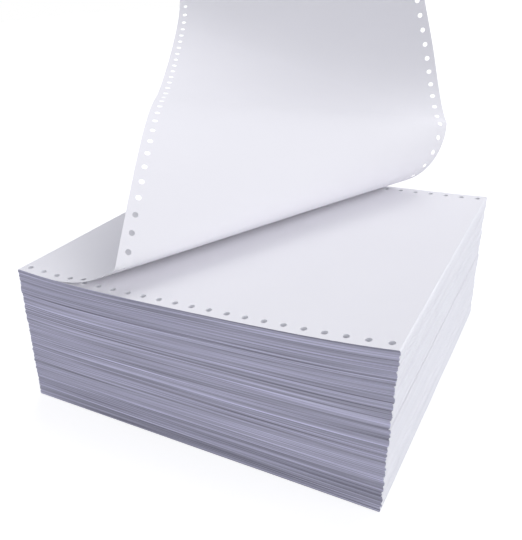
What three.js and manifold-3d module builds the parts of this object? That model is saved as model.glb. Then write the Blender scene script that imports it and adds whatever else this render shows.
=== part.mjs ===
// Fanfold continuous form paper: one web, folded zigzag into a pack, with its two top pages peeled back
// and raised off it. Millimetres, +Z up. The origin is the middle of the pack's underside, +X points
// along the web towards the right-hand folds and +Y from the front margin to the back one.
import * as THREE from "three";
import { mergeVertices } from "three/addons/utils/BufferGeometryUtils.js";
import Module from "manifold-3d";

// The form: an 11 inch page between folds, 9.5 inches over both sprocket margins.
const holePitch = 12.7;
const holesPerPage = 22;
const pageLength = holePitch * holesPerPage;
const pageWidth = 241.3;
const holeDiameter = 4;
const holeInset = 6.35; // from the side edge to the hole's centre
const paperThickness = 0.1;

// The pack: its height at the corners, and how its top page lies over the soft folds.
const packHeight = 108.2;
const sag = { folds: 3.1, crown: 1.7, skew: 0.52, frontDip: 3.35 };
const lean = { x: 4.9, y: 7, twist: 0.011 }; // how far the top has shifted and turned over the bottom

// The pack's sides: bundles of pages that have slipped past each other a little.
const bundles = 27;
const bundleUnevenness = 0.45; // share of a bundle's height that it may be thicker or thinner
const foldNose = 1.1; // how far a bundle's folds stand out from the grooves between bundles
const foldSlip = 0.7;
const cutNose = 0.25; // the same on the two cut sides
const cutSlip = 0.35;
const frontStepCount = 12; // facets along the front and back
const foldStepCount = 6;

// The raised pages bend along straight lines. These are the places where such a line crosses the front
// edge and the back edge, from the peeled page's left end, and on the raised page from the crease.
const liftLine = { front: 30, back: 178 };
const curlLine = { front: 93.6, back: 217.6 };
const rollLine = { front: 96.3, back: 274.4 };
const creaseLine = { front: pageLength, back: pageLength };
const slackLine = { front: 150, back: 2 };
const endLine = { front: pageLength, back: 92 };
const turns = { lift: 0.561, curl: 1.546, roll: 1.006, crease: -0.174, slack: -0.257, rise: -1.088 };
const stripCounts = { lift: 4, curl: 8, roll: 6, slack: 2, rise: 7 };
const settleHeight = 25; // height over which the raised web stops following the pack's sagging top
const rootDepth = 1.5; // how deep the raised web's first strip is joined into the pack
const rootLength = 4;
const cutterReach = 5; // how far a hole cutter reaches past the pack's top and bottom
const holeSides = 8;

const wasm = await Module();
wasm.setup();

// Height of the pack's top page, from places counted from its front left corner.
function topHeight(x, y) {
  const u = THREE.MathUtils.clamp((2 * x) / pageLength - 1, -1, 1);
  const v = THREE.MathUtils.clamp((2 * y) / pageWidth - 1, -1, 1);
  const u2 = u * u;
  const ends = sag.crown * (1 - u2) - sag.folds * (1 - u2 * u2) + sag.skew * u * (1 - u2);
  return packHeight + ends + sag.frontDip * (1 - u2) * v;
}

// A steady number from -1 to 1 for each bundle and each of its sides.
function wobble(bundle, side) {
  const s = Math.sin(bundle * 12.9898 + side * 78.233) * 43758.5453;
  return 2 * (s - Math.floor(s)) - 1;
}

// A place in the pack: x and y as on the top page, level from 0 at the floor to 1 at the top.
function packPoint(x, y, level) {
  const turn = lean.twist * (level - 1);
  const fromMiddle = new THREE.Vector2(x - pageLength / 2, y - pageWidth / 2);
  fromMiddle.rotateAround(new THREE.Vector2(), turn);
  const z = level * topHeight(x, y);
  return new THREE.Vector3(fromMiddle.x + lean.x * level, fromMiddle.y + lean.y * level, z);
}

function toSolid(geometry) {
  const merged = mergeVertices(geometry, 1e-4);
  const vertProperties = new Float32Array(merged.attributes.position.array);
  const triVerts = new Uint32Array(merged.index.array);
  return new wasm.Manifold(new wasm.Mesh({ numProp: 3, vertProperties, triVerts }));
}

function indexed(points, triangles) {
  const geometry = new THREE.BufferGeometry().setFromPoints(points);
  geometry.setIndex(triangles);
  return geometry;
}

// Levels of the pack's rings: each bundle has its groove and its fullest line.
function bundleRings() {
  const heights = [];
  for (let b = 0; b < bundles; b++) {
    heights.push(1 + bundleUnevenness * wobble(b, 0));
  }
  const whole = heights.reduce((sum, h) => sum + h, 0);
  const rings = [];
  let level = 0;
  heights.forEach((h, b) => {
    const slip = [1, 2, 3, 4].map((side) => wobble(b, side));
    rings.push({ level, slip, nose: 0 });
    rings.push({ level: level + h / 2 / whole, slip, nose: 1 });
    level += h / whole;
  });
  rings.push({ level: 1, slip: rings[rings.length - 1].slip, nose: 0 });
  return rings;
}

// Where a ring's four sides lie. The top page has none of the slip of the bundles under it.
function ringOutline({ level, slip, nose }) {
  const fold = foldNose * (nose - 1);
  const cut = cutNose * (nose - 1);
  const settled = level === 1 ? 0 : 1;
  const left = -fold + foldSlip * slip[0] * settled;
  const right = pageLength + fold + foldSlip * slip[1] * settled;
  const front = -cut + cutSlip * slip[2] * settled;
  const back = pageWidth + cut + cutSlip * slip[3] * settled;
  return { left, right, front, back, level };
}

function gridPoint({ left, right, front, back, level }, i, j) {
  const x = THREE.MathUtils.lerp(left, right, i / frontStepCount);
  const y = THREE.MathUtils.lerp(front, back, j / foldStepCount);
  return packPoint(x, y, level);
}

// Grid places once round a ring, anticlockwise from above.
function ringPlaces() {
  const [nx, ny] = [frontStepCount, foldStepCount];
  const places = [];
  for (let i = 0; i < nx; i++) places.push([i, 0]);
  for (let j = 0; j < ny; j++) places.push([nx, j]);
  for (let i = nx; i > 0; i--) places.push([i, ny]);
  for (let j = ny; j > 0; j--) places.push([0, j]);
  return places;
}

function packCap(outline, faceUp) {
  const [nx, ny] = [frontStepCount, foldStepCount];
  const points = [];
  const triangles = [];
  for (let j = 0; j <= ny; j++) {
    for (let i = 0; i <= nx; i++) points.push(gridPoint(outline, i, j));
  }
  for (let j = 0; j < ny; j++) {
    for (let i = 0; i < nx; i++) {
      const a = j * (nx + 1) + i;
      const d = a + nx + 1;
      const quad = [a, a + 1, d + 1, a, d + 1, d];
      triangles.push(...(faceUp ? quad : quad.reverse()));
    }
  }
  return { points, triangles };
}

function packSolid() {
  const outlines = bundleRings().map(ringOutline);
  const places = ringPlaces();
  const points = [];
  const triangles = [];
  outlines.forEach((outline) => {
    places.forEach(([i, j]) => points.push(gridPoint(outline, i, j)));
  });
  const n = places.length;
  for (let r = 0; r + 1 < outlines.length; r++) {
    for (let k = 0; k < n; k++) {
      const a = r * n + k;
      const b = r * n + ((k + 1) % n);
      triangles.push(a, b, b + n, a, b + n, a + n);
    }
  }
  for (const faceUp of [false, true]) {
    const cap = packCap(outlines[faceUp ? outlines.length - 1 : 0], faceUp);
    const first = points.length;
    points.push(...cap.points);
    cap.triangles.forEach((index) => triangles.push(first + index));
  }
  return toSolid(indexed(points, triangles));
}

// A closed prism between two many-sided outlines with the same number of corners.
function prism(lower, upper) {
  const n = lower.length;
  const triangles = [];
  for (let k = 0; k < n; k++) {
    const m = (k + 1) % n;
    triangles.push(k, m, n + m, k, n + m, n + k);
  }
  for (let k = 1; k + 1 < n; k++) {
    triangles.push(0, k + 1, k, n, n + k, n + k + 1);
  }
  return toSolid(indexed([...lower, ...upper], triangles));
}

// Corners of a round hole's outline about a centre, in the plane of two directions.
function holeOutline(centre, along, across) {
  const corners = [];
  for (let k = 0; k < holeSides; k++) {
    const angle = ((k + 0.5) / holeSides) * 2 * Math.PI;
    const corner = centre.clone();
    corner.addScaledVector(along, (Math.cos(angle) * holeDiameter) / 2);
    corner.addScaledVector(across, (Math.sin(angle) * holeDiameter) / 2);
    corners.push(corner);
  }
  return corners;
}

// Middle of each sprocket hole of one page, along both margins.
function pageHoles() {
  const holes = [];
  for (let k = 0; k < holesPerPage; k++) {
    const x = (k + 0.5) * holePitch;
    holes.push([x, holeInset], [x, pageWidth - holeInset]);
  }
  return holes;
}

// The holes lie over each other, so they make shafts that lean as the pack does.
function packHoles() {
  const ahead = new THREE.Vector3(1, 0, 0);
  const aside = new THREE.Vector3(0, 1, 0);
  const beyond = cutterReach / packHeight;
  return pageHoles().map(([x, y]) => {
    const low = packPoint(x, y, -beyond);
    const high = packPoint(x, y, 1 + beyond);
    return prism(holeOutline(low, ahead, aside), holeOutline(high, ahead, aside));
  });
}

// The lines that the raised web bends along, from the pack to its free end.
function bendLines() {
  const lines = [];
  const bend = (from, to, pageStart, turn, strips) => {
    for (let s = 0; s < strips; s++) {
      const t = (s + 0.5) / strips;
      lines.push({
        front: THREE.MathUtils.lerp(from.front, to.front, t) + pageStart,
        back: THREE.MathUtils.lerp(from.back, to.back, t) + pageStart,
        turn: turn / strips,
      });
    }
  };
  bend(liftLine, curlLine, 0, turns.lift, stripCounts.lift);
  bend(curlLine, rollLine, 0, turns.curl, stripCounts.curl);
  bend(rollLine, creaseLine, 0, turns.roll, stripCounts.roll);
  lines.push({ ...creaseLine, turn: turns.crease });
  bend({ front: 0, back: 0 }, slackLine, pageLength, turns.slack, stripCounts.slack);
  bend(slackLine, endLine, pageLength, turns.rise, stripCounts.rise);
  return lines;
}

// Each strip of the web between two bend lines is flat, and carried round by every line before it.
function stripPlacements(lines) {
  const placements = [new THREE.Matrix4()];
  for (const { front, back, turn } of lines) {
    const axis = new THREE.Vector3(back - front, pageWidth, 0).normalize();
    const bend = new THREE.Matrix4().makeTranslation(front, 0, 0);
    bend.multiply(new THREE.Matrix4().makeRotationAxis(axis, -turn));
    bend.multiply(new THREE.Matrix4().makeTranslation(-front, 0, 0));
    placements.push(placements[placements.length - 1].clone().multiply(bend));
  }
  return placements;
}

const lines = bendLines();
const placements = stripPlacements(lines);

// Where a place of the flat web has come to lie. x counts along the web from the peeled page's left end.
function webPoint(x, y, strip, offset = 0) {
  const p = new THREE.Vector3(x, y, offset).applyMatrix4(placements[strip]);
  const followed = Math.exp(-Math.max(p.z, 0) / settleHeight);
  p.z += packHeight + (topHeight(p.x, p.y) - packHeight) * followed;
  p.x += lean.x - pageLength / 2;
  p.y += lean.y - pageWidth / 2;
  return p;
}

function stripOf(x, y) {
  const passed = lines.filter(({ front, back }) => x > front + ((back - front) * y) / pageWidth);
  return passed.length;
}

// A row of points across the web, on both of its faces.
function webRow(front, back, strip, drop = 0) {
  const row = [];
  for (const side of [1, -1]) {
    for (let j = 0; j <= foldStepCount; j++) {
      const t = j / foldStepCount;
      const x = THREE.MathUtils.lerp(front, back, t);
      const offset = (side * paperThickness) / 2 - drop;
      row.push(webPoint(x, t * pageWidth, strip, offset));
    }
  }
  return row;
}

function raisedWeb() {
  const first = lines[0];
  const end = 2 * pageLength;
  const rows = [webRow(first.front - rootLength, first.back - rootLength, 0, rootDepth)];
  lines.forEach(({ front, back }, k) => rows.push(webRow(front, back, k + 1)));
  rows.push(webRow(end, end, lines.length));
  const n = foldStepCount + 1;
  const triangles = [];
  const quad = (a, b, c, d) => triangles.push(a, b, c, a, c, d);
  for (let r = 0; r + 1 < rows.length; r++) {
    const near = r * 2 * n;
    const far = near + 2 * n;
    for (let j = 0; j < n - 1; j++) {
      quad(near + j, far + j, far + j + 1, near + j + 1);
      quad(near + n + j, near + n + j + 1, far + n + j + 1, far + n + j);
    }
    quad(near, near + n, far + n, far);
    quad(near + n - 1, far + n - 1, far + 2 * n - 1, near + 2 * n - 1);
  }
  const last = (rows.length - 1) * 2 * n;
  for (let j = 0; j < n - 1; j++) {
    quad(j, j + 1, n + j + 1, n + j);
    quad(last + j, last + n + j, last + n + j + 1, last + j + 1);
  }
  return toSolid(indexed(rows.flat(), triangles));
}

// The raised web's holes, each cut square to the paper where it lies.
function webHoles() {
  const cutters = [];
  for (const pageStart of [0, pageLength]) {
    for (const [x, y] of pageHoles()) {
      const at = pageStart + x;
      const strip = stripOf(at, y);
      if (strip === 0 && stripOf(at + rootLength + holeDiameter, y) === 0) continue;
      const centre = webPoint(at, y, strip);
      const along = new THREE.Vector3(1, 0, 0).transformDirection(placements[strip]);
      const across = new THREE.Vector3(0, 1, 0).transformDirection(placements[strip]);
      const reach = new THREE.Vector3().crossVectors(along, across).multiplyScalar(2 * rootDepth);
      const low = holeOutline(centre.clone().sub(reach), along, across);
      const high = holeOutline(centre.clone().add(reach), along, across);
      cutters.push(prism(low, high));
    }
  }
  return cutters;
}

const pack = packHoles().reduce((solid, hole) => solid.subtract(hole), packSolid());
const raised = webHoles().reduce((solid, hole) => solid.subtract(hole), raisedWeb());
const web = pack.add(raised).getMesh();

const geometry = new THREE.BufferGeometry();
geometry.setAttribute("position", new THREE.BufferAttribute(web.vertProperties, 3));
geometry.setIndex(new THREE.BufferAttribute(web.triVerts, 1));
geometry.computeVertexNormals();

const paper = new THREE.MeshStandardMaterial({ color: 0xeeeef2, roughness: 0.85, metalness: 0 });
const fanfoldWeb = new THREE.Mesh(geometry, paper);
fanfoldWeb.name = "fanfold_web";

const fanfoldPaper = new THREE.Group();
fanfoldPaper.add(fanfoldWeb);

export default fanfoldPaper;
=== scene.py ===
# Fanfold continuous form paper: a folded pack of plain paper with two pages peeled back and raised.
import math
import random

import bpy
from mathutils import Matrix, Vector
from mathutils.geometry import delaunay_2d_cdt


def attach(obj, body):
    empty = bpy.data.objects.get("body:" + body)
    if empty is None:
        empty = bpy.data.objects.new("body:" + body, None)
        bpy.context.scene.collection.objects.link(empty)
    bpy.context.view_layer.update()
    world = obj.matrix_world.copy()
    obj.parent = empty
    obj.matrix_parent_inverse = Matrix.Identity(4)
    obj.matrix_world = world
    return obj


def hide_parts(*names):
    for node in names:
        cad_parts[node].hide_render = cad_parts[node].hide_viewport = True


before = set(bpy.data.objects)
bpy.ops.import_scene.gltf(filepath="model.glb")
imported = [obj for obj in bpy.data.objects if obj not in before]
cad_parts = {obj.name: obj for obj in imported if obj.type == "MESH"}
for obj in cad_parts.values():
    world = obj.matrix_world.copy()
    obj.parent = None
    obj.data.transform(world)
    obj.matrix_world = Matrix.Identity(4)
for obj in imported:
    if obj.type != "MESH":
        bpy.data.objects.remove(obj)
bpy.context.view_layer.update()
mm = 0.001
print("frame loaded")

form = {
    "holePitch": 12.7 * mm,
    "holesPerPage": 22,
    "cellsAcross": 19,  # the page is this many hole pitches wide
    "holeRadius": 2.0 * mm,
    "paperThickness": 0.1 * mm,
}
pageLength = form["holePitch"] * form["holesPerPage"]
pageWidth = form["holePitch"] * form["cellsAcross"]

packShape = {
    "height": 108.2 * mm,
    "sagFolds": 3.1 * mm,
    "sagPower": 4,  # how steeply the pack falls towards its folds
    "sagCrown": 1.7 * mm,
    "sagSkew": 0.52 * mm,
    "sagFrontDip": 3.35 * mm,
    "lean": (4.9 * mm, 7.0 * mm),
    "twist": 0.011,
}


def topHeight(x, y):
    u = max(-1.0, min(1.0, 2 * x / pageLength - 1))
    v = max(-1.0, min(1.0, 2 * y / pageWidth - 1))
    bow = 1 - u * u
    rise = packShape["sagCrown"] * bow - packShape["sagFolds"] * (1 - u ** packShape["sagPower"])
    rise += packShape["sagSkew"] * u * bow
    return packShape["height"] + rise + packShape["sagFrontDip"] * bow * v


def packPoint(x, y, level):
    # x and y lie on a flat page, level runs from 0 at the floor to 1 at the top
    turn = packShape["twist"] * (level - 1)
    dx, dy = x - pageLength / 2, y - pageWidth / 2
    px = dx * math.cos(turn) - dy * math.sin(turn) + packShape["lean"][0] * level
    py = dx * math.sin(turn) + dy * math.cos(turn) + packShape["lean"][1] * level
    return (px, py, level * topHeight(x, y))


# Camera, at the place and angle that the photograph was taken from
cameraSetup = {
    "place": (0.2156, -0.3682, 0.2847),
    "forward": (-0.454, 0.776, -0.438),
    "right": (0.878, 0.472, -0.074),
    "focalPixels": 604.7,
    "imageLongSide": 540,
    "sensor": 36.0,
    "clipStart": 0.01,
}


def makeCamera():
    data = bpy.data.cameras.new("photoCamera")
    data.sensor_width = cameraSetup["sensor"]
    data.lens = cameraSetup["focalPixels"] / cameraSetup["imageLongSide"] * cameraSetup["sensor"]
    data.clip_start = cameraSetup["clipStart"]
    camera = bpy.data.objects.new("photoCamera", data)
    bpy.context.scene.collection.objects.link(camera)
    back = -Vector(cameraSetup["forward"]).normalized()
    right = Vector(cameraSetup["right"])
    right = (right - back * right.dot(back)).normalized()
    up = back.cross(right)
    turn = Matrix((right, up, back)).transposed().to_4x4()
    camera.matrix_world = Matrix.Translation(cameraSetup["place"]) @ turn
    bpy.context.scene.camera = camera


makeCamera()
print("camera placed")


# Node helpers and the shader groups that several materials use
def newGroup(name, inputs, outputs):
    group = bpy.data.node_groups.new(name, "ShaderNodeTree")
    for label, kind, value in inputs:
        socket = group.interface.new_socket(label, in_out="INPUT", socket_type=kind)
        if value is not None:
            socket.default_value = value
    for label, kind in outputs:
        group.interface.new_socket(label, in_out="OUTPUT", socket_type=kind)
    return group, group.nodes.new("NodeGroupInput"), group.nodes.new("NodeGroupOutput")


def addNode(tree, kind, values=None, **settings):
    node = tree.nodes.new(kind)
    for key, value in settings.items():
        setattr(node, key, value)
    for key, value in (values or {}).items():
        node.inputs[key].default_value = value
    return node


colorAndHeight = [("Color", "NodeSocketColor"), ("Height", "NodeSocketFloat")]
whitePaper = (0.8, 0.8, 0.8, 1)


def makeFibreGroup():
    inputs = [
        ("Paper", "NodeSocketColor", whitePaper),
        ("Fibre Scale", "NodeSocketFloat", 900.0),
        ("Cloud Scale", "NodeSocketFloat", 25.0),
        ("Mottle", "NodeSocketFloat", 0.02),
    ]
    group, given, out = newGroup("paperFibre", inputs, colorAndHeight)
    link = group.links.new
    place = addNode(group, "ShaderNodeTexCoord")
    fibre = addNode(group, "ShaderNodeTexNoise", {"Detail": 3.0, "Roughness": 0.6})
    cloud = addNode(group, "ShaderNodeTexNoise", {"Detail": 2.0})
    for noise, scale in ((fibre, "Fibre Scale"), (cloud, "Cloud Scale")):
        link(place.outputs["Object"], noise.inputs["Vector"])
        link(given.outputs[scale], noise.inputs["Scale"])
    both = addNode(group, "ShaderNodeMath", operation="ADD")
    link(fibre.outputs["Fac"], both.inputs[0])
    link(cloud.outputs["Fac"], both.inputs[1])
    centred = addNode(group, "ShaderNodeMath", {1: 1.0}, operation="SUBTRACT")
    link(both.outputs[0], centred.inputs[0])
    strength = addNode(group, "ShaderNodeMath", {2: 1.0}, operation="MULTIPLY_ADD")
    link(centred.outputs[0], strength.inputs[0])
    link(given.outputs["Mottle"], strength.inputs[1])
    tint = addNode(group, "ShaderNodeVectorMath", operation="SCALE")
    link(given.outputs["Paper"], tint.inputs[0])
    link(strength.outputs[0], tint.inputs["Scale"])
    link(tint.outputs["Vector"], out.inputs["Color"])
    link(fibre.outputs["Fac"], out.inputs["Height"])
    return group


fibreGroup = makeFibreGroup()
paperGloss = 0.25


def startMaterial(name, roughness):
    material = bpy.data.materials.new(name)
    material.use_nodes = True
    shader = material.node_tree.nodes["Principled BSDF"]
    shader.inputs["Roughness"].default_value = roughness
    shader.inputs["Specular IOR Level"].default_value = paperGloss
    return material, material.node_tree, shader


def addFibre(tree, look, color):
    fibre = addNode(tree, "ShaderNodeGroup", node_tree=fibreGroup)
    fibre.inputs["Paper"].default_value = (*color, 1)
    fibre.inputs["Fibre Scale"].default_value = look["fibreScale"]
    fibre.inputs["Cloud Scale"].default_value = look["cloudScale"]
    fibre.inputs["Mottle"].default_value = look["mottle"]
    return fibre


def addBump(tree, shader, height, strength, depth):
    bump = addNode(tree, "ShaderNodeBump", {"Strength": strength, "Distance": depth})
    tree.links.new(height, bump.inputs["Height"])
    tree.links.new(bump.outputs["Normal"], shader.inputs["Normal"])


# The paper's face, on raised pages and on the pack's top page
pageLook = {
    "color": (0.875, 0.865, 0.905),
    "fibreScale": 1400.0,
    "cloudScale": 18.0,
    "mottle": 0.018,
    "roughness": 0.75,
    "grain": 0.06,
    "grainDepth": 0.04 * mm,
}


def makePageMaterial():
    material, tree, shader = startMaterial("pagePaper", pageLook["roughness"])
    fibre = addFibre(tree, pageLook, pageLook["color"])
    tree.links.new(fibre.outputs["Color"], shader.inputs["Base Color"])
    addBump(tree, shader, fibre.outputs["Height"], pageLook["grain"], pageLook["grainDepth"])
    return material


# The pack's sides, where single sheets show as fine lines along the layers; the lines' lighter and darker
# colour is painted light and shade of the sheets' uneven edges, strongest on the cut edges
sideLook = {
    "fibreScale": 1600.0,
    "cloudScale": 22.0,
    "mottle": 0.03,
    "roughness": 0.85,
    # lines in a metre along the side, lines in a metre up the pack, and their share
    "streaks": [(2.5, 240.0, 0.20), (4.0, 700.0, 0.30), (7.0, 1700.0, 0.30)],
    "streakRange": 0.2,  # the noise leaves its middle by this much at the palest and darkest lines
    "streakDepth": 0.12 * mm,
    # the cut edges' colour is darker and bluer than the paper: mostly painted shade of the pack's shaded
    # front, partly the real dark gaps between the cut sheets
    "cutEdgesPaintedShade": {"color": (0.512, 0.503, 0.63), "paintedStreakShade": 0.78, "bump": 0.4},
    "foldedEdges": {"color": (0.85, 0.85, 0.89), "paintedStreakShade": 0.03, "bump": 0.12},
}


# painted light and shade: the paper's colour is made lighter or darker along the layer lines
def makeStreakGroup():
    inputs = [
        ("Paper", "NodeSocketColor", whitePaper),
        ("Layers", "NodeSocketVector", None),
        ("Contrast", "NodeSocketFloat", 0.5),
    ]
    group, given, out = newGroup("layerStreaks", inputs, colorAndHeight)
    link = group.links.new
    total = None
    for along, through, share in sideLook["streaks"]:
        stretch = addNode(group, "ShaderNodeVectorMath", {1: (along, through, 1.0)}, operation="MULTIPLY")
        link(given.outputs["Layers"], stretch.inputs[0])
        noise = addNode(group, "ShaderNodeTexNoise", {"Scale": 1.0, "Detail": 1.0}, noise_dimensions="2D")
        link(stretch.outputs["Vector"], noise.inputs["Vector"])
        part = addNode(group, "ShaderNodeMath", {1: share}, operation="MULTIPLY")
        link(noise.outputs["Fac"], part.inputs[0])
        if total is None:
            total = part
            continue
        more = addNode(group, "ShaderNodeMath", operation="ADD")
        link(total.outputs[0], more.inputs[0])
        link(part.outputs[0], more.inputs[1])
        total = more
    middle = sum(share for _, _, share in sideLook["streaks"]) / 2
    reach = sideLook["streakRange"]
    ends = {"From Min": middle - reach, "From Max": middle + reach, "To Min": -1.0, "To Max": 1.0}
    spread = addNode(group, "ShaderNodeMapRange", ends, clamp=True)
    link(total.outputs[0], spread.inputs["Value"])
    shade = addNode(group, "ShaderNodeMath", {2: 1.0}, operation="MULTIPLY_ADD")
    link(spread.outputs["Result"], shade.inputs[0])
    link(given.outputs["Contrast"], shade.inputs[1])
    streaked = addNode(group, "ShaderNodeVectorMath", operation="SCALE")
    link(given.outputs["Paper"], streaked.inputs[0])
    link(shade.outputs[0], streaked.inputs["Scale"])
    link(streaked.outputs["Vector"], out.inputs["Color"])
    link(total.outputs[0], out.inputs["Height"])
    return group


streakGroup = makeStreakGroup()


def makeSideMaterial(name):
    material, tree, shader = startMaterial(name, sideLook["roughness"])
    link = tree.links.new
    finish = sideLook[name]
    fibre = addFibre(tree, sideLook, finish["color"])
    layers = addNode(tree, "ShaderNodeUVMap", uv_map="layers")
    streaks = addNode(tree, "ShaderNodeGroup", {"Contrast": finish["paintedStreakShade"]}, node_tree=streakGroup)
    link(fibre.outputs["Color"], streaks.inputs["Paper"])
    link(layers.outputs["UV"], streaks.inputs["Layers"])
    link(streaks.outputs["Color"], shader.inputs["Base Color"])
    addBump(tree, shader, streaks.outputs["Height"], finish["bump"], sideLook["streakDepth"])
    return material


pagePaper = makePageMaterial()
# the cut edges' material, whose dark bluish colour is mostly painted shade
cutPaperPaintedShade = makeSideMaterial("cutEdgesPaintedShade")
foldPaper = makeSideMaterial("foldedEdges")
print("materials made")


# The folded pack
packLook = {
    "layers": 236,
    "frontSteps": 40,
    "foldSteps": 26,
    "bundles": 27,
    "bundleSpread": 0.5,  # bundles are thicker or thinner by up to this share
    "foldNose": 1.1 * mm,
    "foldSlip": 0.7 * mm,
    "cutSlip": 0.3 * mm,
    "layerNose": 0.10 * mm,
    "layerSlip": 0.12 * mm,
    "sheetProud": 0.35 * mm,
    "proudShare": 0.10,
    "proudLeast": 0.4,  # a proud sheet stands out by at least this share of sheetProud
    "waves": 3,
    "waveSize": 0.5,
    "wavePhase": 6.3,  # radians, the most that a wave is shifted by
    "waveRate": 6.3,  # radians along a whole side, for the longest wave
    "waveMiddle": 0.6,
    "waveSwing": 0.4,
    "topRound": 0.7 * mm,
    "holeSides": 24,
    "holeReach": 0.99,  # a triangle lies in a hole if its middle is within this share of the radius
    "holeStreaks": 0.1,  # metres of the streak pattern that a hole's wall takes from bottom to top
    "gridPitch": 10 * mm,
    "gridFromHoles": 2 * mm,
    "seed": 7,
}
foldSides = (1, 3)  # a page's sides are numbered 0 front, 1 right, 2 back, 3 left
cutKind, foldKind, pageKind = range(3)  # the order of the pack's materials


def packLayers():
    chance = random.Random(packLook["seed"])

    def eachSide():
        return [chance.uniform(-1, 1) for _ in range(4)]

    def sideWaves():
        size, phase = packLook["waveSize"], packLook["wavePhase"]
        return [(chance.uniform(0, size), chance.uniform(0, phase)) for _ in range(packLook["waves"])]

    spread = packLook["bundleSpread"]
    weights = [1 + spread * chance.uniform(-1, 1) for _ in range(packLook["bundles"])]
    whole = sum(weights)
    bundles, level = [], 0.0
    for weight in weights:
        bundle = {"start": level, "end": level + weight / whole}
        bundle["slip"] = eachSide()
        bundle["tilt"] = eachSide()
        bundle["waves"] = [sideWaves() for _ in range(4)]
        bundles.append(bundle)
        level += weight / whole
    layers = []
    count = packLook["layers"]
    for k in range(count):
        level = (k + 0.5) / count
        bundle = next(b for b in bundles if b["end"] >= level)
        proud = [chance.random() < packLook["proudShare"] for _ in range(4)]
        layer = {"low": k / count, "middle": level, "bundle": bundle}
        layer["within"] = (level - bundle["start"]) / (bundle["end"] - bundle["start"])
        layer["slip"] = eachSide()
        layer["proud"] = [chance.uniform(packLook["proudLeast"], 1) if p else 0.0 for p in proud]
        layers.append(layer)
    return layers


def bundleWave(bundle, side, t):
    total = 0.0
    for k, (size, phase) in enumerate(bundle["waves"][side]):
        total += size * math.sin((k + 1) * packLook["waveRate"] * t + phase)
    return packLook["waveMiddle"] + packLook["waveSwing"] * total


def sideOffset(layer, side, t, nose):
    # how far a layer stands out of a side; t runs from 0 to 1 along it
    bundle = layer["bundle"]
    within = layer["within"]
    wave = bundleWave(bundle, side, t)
    out = packLook["layerSlip"] * layer["slip"][side] + packLook["sheetProud"] * layer["proud"][side] * wave
    if side in foldSides:
        bulge = math.sqrt(max(0.0, 1 - (2 * within - 1) ** 2)) - 1
        out += packLook["foldNose"] * bulge + packLook["foldSlip"] * bundle["slip"][side] * wave
    else:
        out += packLook["cutSlip"] * (bundle["slip"][side] * wave + bundle["tilt"][side] * (within - 0.5))
    return out if nose else out - packLook["layerNose"]


def besideCorner(side, other, t):
    # where another side is read for a point on this side: at the corner that the two share
    if other == side:
        return t
    return 0.0 if other == (side + 1) % 4 else 1.0


def ringPlaces():
    steps = (packLook["frontSteps"], packLook["foldSteps"]) * 2
    return [(side, k / steps[side]) for side in range(4) for k in range(steps[side])]


def ringPoint(offsets, side, t):
    front, right, back, left = offsets
    low, high = (-left, -front), (pageLength + right, pageWidth + back)
    corners = [low, (high[0], low[1]), high, (low[0], high[1])]
    (x0, y0), (x1, y1) = corners[side], corners[(side + 1) % 4]
    return x0 + (x1 - x0) * t, y0 + (y1 - y0) * t


def roundedTop(level):
    # how far the folds draw in where the uppermost sheets turn over
    depth = (1 - level) * packShape["height"]
    r = packLook["topRound"]
    if depth >= r:
        return 0.0
    return r - math.sqrt(max(0.0, r * r - (r - depth) ** 2))


def flatRing(layer, level, nose):
    # outline of a layer on the flat page; the top page's own outline has no slip
    settle = 0.0 if level >= 1.0 else 1.0
    points = []
    for side, t in ringPlaces():
        offsets = [sideOffset(layer, s, besideCorner(side, s, t), nose) * settle for s in range(4)]
        for s in foldSides:
            offsets[s] -= roundedTop(level)
        points.append(ringPoint(offsets, side, t))
    return points


def holePlaces():
    inset = form["holePitch"] / 2
    across = (inset, pageWidth - inset)
    return [((k + 0.5) * form["holePitch"], y) for k in range(form["holesPerPage"]) for y in across]


def holeRim(x, y):
    n = packLook["holeSides"]
    r = form["holeRadius"]
    return [(x + r * math.cos(2 * math.pi * k / n), y + r * math.sin(2 * math.pi * k / n)) for k in range(n)]


def insideHole(x, y):
    reach = packLook["holeReach"] * form["holeRadius"]
    return any(math.hypot(x - hx, y - hy) < reach for hx, hy in holePlaces())


def pageTriangles(outline):
    # flat triangles of a page with its holes, from the outline's points, the rims and a grid between
    flat = [Vector(p) for p in outline]
    edges = [(k, (k + 1) % len(outline)) for k in range(len(outline))]
    rims = []
    n = packLook["holeSides"]
    for x, y in holePlaces():
        first = len(flat)
        flat += [Vector(p) for p in holeRim(x, y)]
        edges += [(first + k, first + (k + 1) % n) for k in range(n)]
        rims.append(first)
    pitch = packLook["gridPitch"]
    margin = form["holePitch"]
    for i in range(1, int(pageLength / pitch)):
        for j in range(int((pageWidth - 2 * margin) / pitch) + 1):
            flat.append(Vector((i * pitch, margin + packLook["gridFromHoles"] + j * pitch)))
    insideOnly, tolerance = 1, 1e-7
    points, _, faces, origins, _, _ = delaunay_2d_cdt(flat, edges, [], insideOnly, tolerance)
    triangles = []
    for face in faces:
        x = sum(points[i].x for i in face) / 3
        y = sum(points[i].y for i in face) / 3
        if not insideHole(x, y):
            triangles.append([origins[i][0] for i in face])
    return flat, triangles, rims


def addFace(build, corners, kind, uvs):
    build["faces"].append(tuple(corners))
    build["kinds"].append(kind)
    build["uvs"] += uvs


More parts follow.
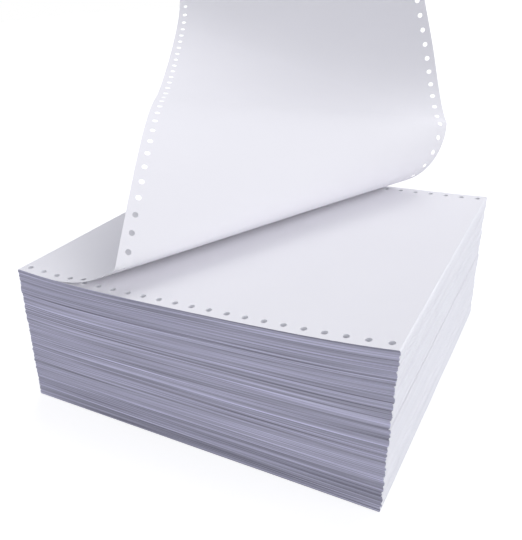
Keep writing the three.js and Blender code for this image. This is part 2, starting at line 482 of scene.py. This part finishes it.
def addSides(build, layers):
    # every layer has a ring in the gap below it and one at its nose, and a last ring closes the top
    rings = []
    for layer in layers:
        rings += [(layer, layer["low"], False), (layer, layer["middle"], True)]
    rings.append((layers[-1], 1.0, False))
    for layer, level, nose in rings:
        build["vertices"] += [packPoint(x, y, level) for x, y in flatRing(layer, level, nose)]
    places = ringPlaces()
    n = len(places)
    lengths = [pageLength, pageWidth] * 2
    starts = [sum(lengths[:side]) for side in range(4)]
    for r in range(len(rings) - 1):
        v0, v1 = rings[r][1] * packShape["height"], rings[r + 1][1] * packShape["height"]
        for k, (side, t) in enumerate(places):
            m = (k + 1) % n
            end = places[m][1] if places[m][0] == side else 1.0
            u0, u1 = starts[side] + t * lengths[side], starts[side] + end * lengths[side]
            corners = (r * n + k, r * n + m, (r + 1) * n + m, (r + 1) * n + k)
            kind = foldKind if side in foldSides else cutKind
            addFace(build, corners, kind, [(u0, v0), (u1, v0), (u1, v1), (u0, v1)])
    return (len(rings) - 1) * n


def addPage(build, outline, level, ringStart):
    # the pack's top or bottom page, joined to the first or last ring; gives its holes' rims
    flat, triangles, rimStarts = pageTriangles(outline)
    n = len(outline)
    first = len(build["vertices"])
    build["vertices"] += [packPoint(p.x, p.y, level) for p in flat[n:]]
    where = [ringStart + k for k in range(n)] + [first + k for k in range(len(flat) - n)]
    for triangle in triangles:
        corners = [where[c] for c in triangle]
        addFace(build, corners if level > 0 else corners[::-1], pageKind, [(0.0, 0.0)] * 3)
    return [where[s] for s in rimStarts]


def addHoleWalls(build, lowRims, highRims):
    n = packLook["holeSides"]
    top = packLook["holeStreaks"]
    for low, high in zip(lowRims, highRims):
        for k in range(n):
            m = (k + 1) % n
            corners = (low + m, low + k, high + k, high + m)
            addFace(build, corners, foldKind, [(0.0, 0.0), (0.0, 0.0), (0.0, top), (0.0, top)])


def markEdgesBetweenKinds(mesh):
    kinds = {}
    for face in mesh.polygons:
        for key in face.edge_keys:
            kinds.setdefault(key, set()).add(face.material_index)
    for edge in mesh.edges:
        if len(kinds[edge.key]) > 1:
            edge.use_edge_sharp = True


def makePack():
    layers = packLayers()
    build = {"vertices": [], "faces": [], "kinds": [], "uvs": []}
    lastRing = addSides(build, layers)
    lowRims = addPage(build, flatRing(layers[0], 0.0, False), 0.0, 0)
    highRims = addPage(build, flatRing(layers[-1], 1.0, False), 1.0, lastRing)
    addHoleWalls(build, lowRims, highRims)
    mesh = bpy.data.meshes.new("folded_pack")
    mesh.from_pydata(build["vertices"], [], build["faces"])
    layerMap = mesh.uv_layers.new(name="layers")
    layerMap.data.foreach_set("uv", [value for corner in build["uvs"] for value in corner])
    for material in (cutPaperPaintedShade, foldPaper, pagePaper):
        mesh.materials.append(material)
    mesh.polygons.foreach_set("material_index", build["kinds"])
    mesh.polygons.foreach_set("use_smooth", [kind == pageKind for kind in build["kinds"]])
    mesh.update()
    markEdgesBetweenKinds(mesh)
    pack = bpy.data.objects.new("folded_pack", mesh)
    bpy.context.scene.collection.objects.link(pack)
    return pack


pack = makePack()
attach(pack, "root")
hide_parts("fanfold_web")
print("pack made", len(pack.data.polygons), "faces")


# The peeled and raised pages. Bend lines cross the front and back edge at these distances from the
# page's left end, and the paper turns by so many radians between one line and the next.
peel = {
    "start": (30 * mm, 178 * mm),
    "firstPage": [
        ((93.6 * mm, 217.6 * mm), 0.561),
        ((96.3 * mm, 274.4 * mm), 1.546),
        ((pageLength, pageLength), 1.006),
    ],
    "crease": -0.174,
    "secondPage": [
        ((150 * mm, 2 * mm), -0.257),
        ((pageLength, 92 * mm), -1.088),
    ],
    "bendsPerStep": 26,
    "settleHeight": 25 * mm,
    "clearOfPack": 0.06 * mm,
    "cellSteps": 4,
    "ringsAroundHoles": (0.45, 0.0),  # shares of the way from the hole's rim out to its cell's border
}
onTheLine = 1e-9  # metres by which a point has to pass a bend line to be turned by it


def addBends(lines, start, turns, pageStart):
    # each turn is spread over lines that run from where the one before it ended to its own end
    steps = peel["bendsPerStep"]
    for (front, back), turn in turns:
        end = (front + pageStart, back + pageStart)
        for s in range(steps):
            t = (s + 0.5) / steps
            a = start[0] + (end[0] - start[0]) * t
            b = start[1] + (end[1] - start[1]) * t
            lines.append((a, b, turn / steps))
        start = end


def bendLines():
    lines = []
    addBends(lines, peel["start"], peel["firstPage"], 0.0)
    lines.append((pageLength, pageLength, peel["crease"]))
    addBends(lines, (pageLength, pageLength), peel["secondPage"], pageLength)
    return lines


bends = bendLines()


def stripMatrices():
    matrices = [Matrix.Identity(4)]
    for front, back, turn in bends:
        axis = Vector((back - front, pageWidth, 0)).normalized()
        bend = Matrix.Translation((front, 0, 0)) @ Matrix.Rotation(-turn, 4, axis)
        bend = bend @ Matrix.Translation((-front, 0, 0))
        matrices.append(matrices[-1] @ bend)
    return matrices


strips = stripMatrices()


def webPoint(x, y, offset):
    passed = sum(1 for front, back, _ in bends if x > front + (back - front) * y / pageWidth + onTheLine)
    p = strips[passed] @ Vector((x, y, offset))
    follow = math.exp(-max(p.z, 0) / peel["settleHeight"])
    p.z += packShape["height"] + (topHeight(p.x, p.y) - packShape["height"]) * follow + peel["clearOfPack"]
    p.x += packShape["lean"][0] - pageLength / 2
    p.y += packShape["lean"][1] - pageWidth / 2
    r = packLook["topRound"]
    if x < r:
        p.z -= r - math.sqrt(r * r - (r - x) ** 2)
    return p


webColumns = 2 * form["holesPerPage"] * peel["cellSteps"]
webRows = form["cellsAcross"] * peel["cellSteps"]


def gridPoint(flat, i, j):
    if (i, j) not in flat["index"]:
        pitch = form["holePitch"] / peel["cellSteps"]
        flat["index"][i, j] = len(flat["places"])
        flat["places"].append((i * pitch, j * pitch))
    return flat["index"][i, j]


def gridLoop(flat, i0, j0, i1, j1):
    # the grid's points around a rectangle, from its low corner along the front edge first
    loop = [(i, j0) for i in range(i0, i1)] + [(i1, j) for j in range(j0, j1)]
    loop += [(i, j1) for i in range(i1, i0, -1)] + [(i0, j) for j in range(j1, j0, -1)]
    return [gridPoint(flat, i, j) for i, j in loop]


def addPlainCell(flat, i0, j0):
    for i in range(i0, i0 + peel["cellSteps"]):
        for j in range(j0, j0 + peel["cellSteps"]):
            corners = ((i, j), (i + 1, j), (i + 1, j + 1), (i, j + 1))
            flat["faces"].append(tuple(gridPoint(flat, *corner) for corner in corners))


def addHoleCell(flat, i0, j0):
    # rings of points shrink from the cell's square border to the round rim
    steps = peel["cellSteps"]
    outer = gridLoop(flat, i0, j0, i0 + steps, j0 + steps)
    cx, cy = ((first / steps + 0.5) * form["holePitch"] for first in (i0, j0))
    rings = [outer]
    for share in peel["ringsAroundHoles"]:
        ring = []
        for corner in outer:
            dx, dy = flat["places"][corner][0] - cx, flat["places"][corner][1] - cy
            scale = form["holeRadius"] / math.hypot(dx, dy)
            scale += (1 - scale) * share
            ring.append(len(flat["places"]))
            flat["places"].append((cx + dx * scale, cy + dy * scale))
        rings.append(ring)
    for near, far in zip(rings, rings[1:]):
        for k in range(len(near)):
            m = (k + 1) % len(near)
            flat["faces"].append((near[k], near[m], far[m], far[k]))
    flat["loops"].append(rings[-1][::-1])


def flatWeb():
    flat = {"places": [], "index": {}, "faces": [], "loops": []}
    steps = peel["cellSteps"]
    for i in range(0, webColumns, steps):
        for j in range(0, webRows, steps):
            if j in (0, webRows - steps):
                addHoleCell(flat, i, j)
            else:
                addPlainCell(flat, i, j)
    flat["loops"].append(gridLoop(flat, 0, 0, webColumns, webRows))
    return flat


def loopEdges(loop):
    return [(a, loop[(k + 1) % len(loop)]) for k, a in enumerate(loop)]


def makeRaisedPages():
    flat = flatWeb()
    half = form["paperThickness"] / 2
    upper = [webPoint(x, y, half) for x, y in flat["places"]]
    lower = [webPoint(x, y, -half) for x, y in flat["places"]]
    count = len(upper)
    faces = flat["faces"] + [tuple(count + k for k in reversed(face)) for face in flat["faces"]]
    smoothCount = len(faces)
    rimEdges = [edge for loop in flat["loops"] for edge in loopEdges(loop)]
    faces += [(b, a, count + a, count + b) for a, b in rimEdges]
    mesh = bpy.data.meshes.new("raised_pages")
    mesh.from_pydata(upper + lower, [], faces)
    mesh.polygons.foreach_set("use_smooth", [k < smoothCount for k in range(len(faces))])
    middle = webColumns // 2
    crease = [(gridPoint(flat, middle, j), gridPoint(flat, middle, j + 1)) for j in range(webRows)]
    sharp = {tuple(sorted(edge)) for edge in rimEdges + crease}
    sharp |= {(a + count, b + count) for a, b in sharp}
    for edge in mesh.edges:
        edge.use_edge_sharp = tuple(sorted(edge.vertices)) in sharp
    mesh.materials.append(pagePaper)
    mesh.update()
    pages = bpy.data.objects.new("raised_pages", mesh)
    bpy.context.scene.collection.objects.link(pages)
    return pages


pages = makeRaisedPages()
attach(pages, "root")
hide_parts("fanfold_web")
print("raised pages made", len(pages.data.polygons), "faces")


# Floor, lamps and world
stageLook = {
    "floorSize": 6.0,
    "floorDrop": 0.2 * mm,  # keeps the floor clear of the pack's underside
    "floorRoughness": 0.9,
    "floorColor": (0.45, 0.45, 0.46),
    "floorGlow": 0.75,  # added where the floor is looked at, so that it shows white
    "worldStrength": 0.33,
    "worldColor": (0.87, 0.90, 1.0),
    "lamps": {
        "backLight": {"from": (0.0, 0.60, 0.80), "strength": 1.42, "spread": 50},
        "rightLight": {"from": (0.94, 0.0, 0.34), "strength": 1.42, "spread": 50},
        "frontLight": {"from": (0.0, -0.94, 0.34), "strength": 0.78, "spread": 60},
    },
}
pureWhite = (1, 1, 1, 1)


def whereLookedAt(tree):
    # 1 for rays from the camera or from a glossy reflection, otherwise 0
    path = addNode(tree, "ShaderNodeLightPath")
    either = addNode(tree, "ShaderNodeMath", operation="MAXIMUM")
    tree.links.new(path.outputs["Is Camera Ray"], either.inputs[0])
    tree.links.new(path.outputs["Is Glossy Ray"], either.inputs[1])
    return either.outputs[0]


def makeFloor():
    mesh = bpy.data.meshes.new("floor")
    s = stageLook["floorSize"]
    mesh.from_pydata([(-s, -s, 0), (s, -s, 0), (s, s, 0), (-s, s, 0)], [], [(0, 1, 2, 3)])
    floor = bpy.data.objects.new("floor", mesh)
    floor.location.z = -stageLook["floorDrop"]
    bpy.context.scene.collection.objects.link(floor)
    material, tree, shader = startMaterial("floorWhite", stageLook["floorRoughness"])
    shader.inputs["Base Color"].default_value = (*stageLook["floorColor"], 1)
    glow = addNode(tree, "ShaderNodeEmission", {"Color": pureWhite})
    share = addNode(tree, "ShaderNodeMath", {1: stageLook["floorGlow"]}, operation="MULTIPLY")
    tree.links.new(whereLookedAt(tree), share.inputs[0])
    tree.links.new(share.outputs[0], glow.inputs["Strength"])
    lit = addNode(tree, "ShaderNodeAddShader")
    tree.links.new(shader.outputs[0], lit.inputs[0])
    tree.links.new(glow.outputs[0], lit.inputs[1])
    tree.links.new(lit.outputs[0], tree.nodes["Material Output"].inputs["Surface"])
    mesh.materials.append(material)


def makeLamp(name, look):
    data = bpy.data.lights.new(name, "SUN")
    data.energy = look["strength"]
    data.angle = math.radians(look["spread"])
    lamp = bpy.data.objects.new(name, data)
    lamp.rotation_mode = "QUATERNION"
    lamp.rotation_quaternion = Vector(look["from"]).to_track_quat("Z", "Y")
    bpy.context.scene.collection.objects.link(lamp)


def makeWorld():
    world = bpy.data.worlds.new("studio")
    bpy.context.scene.world = world
    world.use_nodes = True
    tree = world.node_tree
    soft = tree.nodes["Background"]
    soft.inputs["Color"].default_value = (*stageLook["worldColor"], 1)
    soft.inputs["Strength"].default_value = stageLook["worldStrength"]
    white = addNode(tree, "ShaderNodeBackground", {"Color": pureWhite, "Strength": 1.0})
    blend = addNode(tree, "ShaderNodeMixShader")
    tree.links.new(whereLookedAt(tree), blend.inputs[0])
    tree.links.new(soft.outputs[0], blend.inputs[1])
    tree.links.new(white.outputs[0], blend.inputs[2])
    tree.links.new(blend.outputs[0], tree.nodes["World Output"].inputs["Surface"])


makeFloor()
for name, look in stageLook["lamps"].items():
    makeLamp(name, look)
makeWorld()
bpy.context.scene.view_settings.view_transform = "Standard"
print("stage made")
